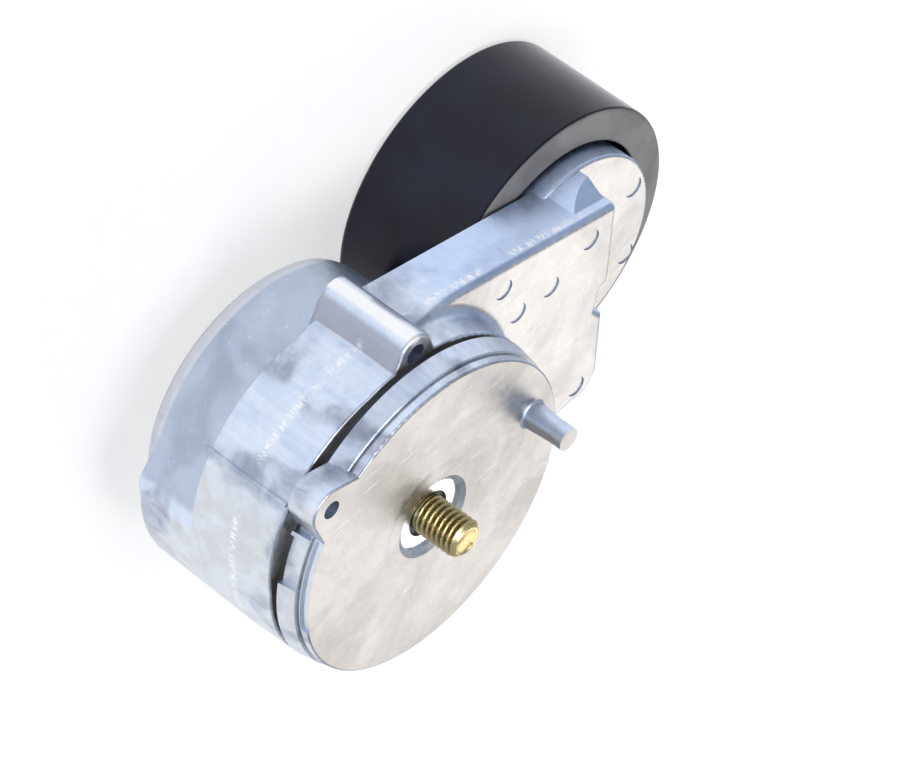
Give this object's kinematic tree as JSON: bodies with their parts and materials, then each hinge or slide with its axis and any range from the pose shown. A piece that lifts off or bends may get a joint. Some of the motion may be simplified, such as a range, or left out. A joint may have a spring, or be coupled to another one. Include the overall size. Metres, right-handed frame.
{
  "type": "belt tensioner",
  "caption": "Spring-loaded accessory belt tensioner: a cast swing arm with its spring case turns on a round base plate and carries a smooth black idler pulley on a ball bearing.",
  "frame": {"origin": "where the arm's pivot axis and the mounting bolt's axis meet the base plate's mounting face", "axes": "+Z out of the mounting face towards the engine, +X from the pivot axis to the pulley axis with the arm at its free stop"},
  "size_m": [0.158, 0.092, 0.0791],
  "materials": {
    "cast_aluminium": "satin die-cast",
    "machined_steel": "turned",
    "yellow_zinc": "yellow zinc plated",
    "zinc_steel": "clear zinc plated",
    "bearing_steel": "ground",
    "black_gloss": "gloss",
    "cover_steel": "satin",
    "black_plastic": "matte",
    "bearing_plastic": "matte",
    "cage_plastic": "matte",
    "seal_rubber": "matte",
    "spring_steel": "oiled"
  },
  "bodies": {
    "base": {"base_plate": "cast_aluminium", "pivot_post": "machined_steel", "bolt_retainer": "black_plastic", "front_thrust_washer": "bearing_plastic", "retaining_plate": "machined_steel", "damping_shoe": "bearing_plastic"},
    "bolt": {"mounting_bolt": "yellow_zinc"},
    "arm": {"arm_casting": "cast_aluminium", "pivot_bushing": "bearing_plastic", "rear_thrust_washer": "bearing_plastic", "spring_seat": "bearing_plastic", "torsion_spring": "spring_steel", "rear_cover": "cover_steel", "dust_shield": "machined_steel", "bearing_inner_ring": "bearing_steel", "bearing_washer": "machined_steel", "pulley_bolt": "zinc_steel"},
    "pulley": {"pulley_shell": "black_gloss", "pulley_hub": "black_gloss", "bearing_outer_ring": "bearing_steel", "bearing_seal_front": "seal_rubber", "bearing_seal_rear": "seal_rubber", "snap_ring": "machined_steel", "dust_cap": "black_plastic"},
    "cage": {"bearing_balls": "bearing_steel", "bearing_cage": "cage_plastic"}
  },
  "joints": [
    {"name": "arm_swing", "type": "hinge", "parent": "base", "child": "arm", "pos_m": [0, 0, 0], "axis": [0, 0, 1], "range_deg": [0, 55], "stiffness_Nm_per_rad": 14, "springref_deg": -63.03, "deforming": ["torsion_spring"]},
    {"name": "pulley_spin", "type": "hinge", "parent": "arm", "child": "pulley", "pos_m": [0.077, 0, 0], "axis": [0, 0, 1], "continuous": true},
    {"name": "cage_spin", "type": "hinge", "parent": "arm", "child": "cage", "pos_m": [0.077, 0, 0], "axis": [0, 0, 1], "continuous": true},
    {"name": "bolt_spin", "type": "hinge", "parent": "base", "child": "bolt", "pos_m": [0, 0, 0], "axis": [0, 0, 1], "continuous": true}
  ],
  "couplings": [
    {"joint": "cage_spin", "follows": "pulley_spin", "ratio": 0.6184}
  ]
}
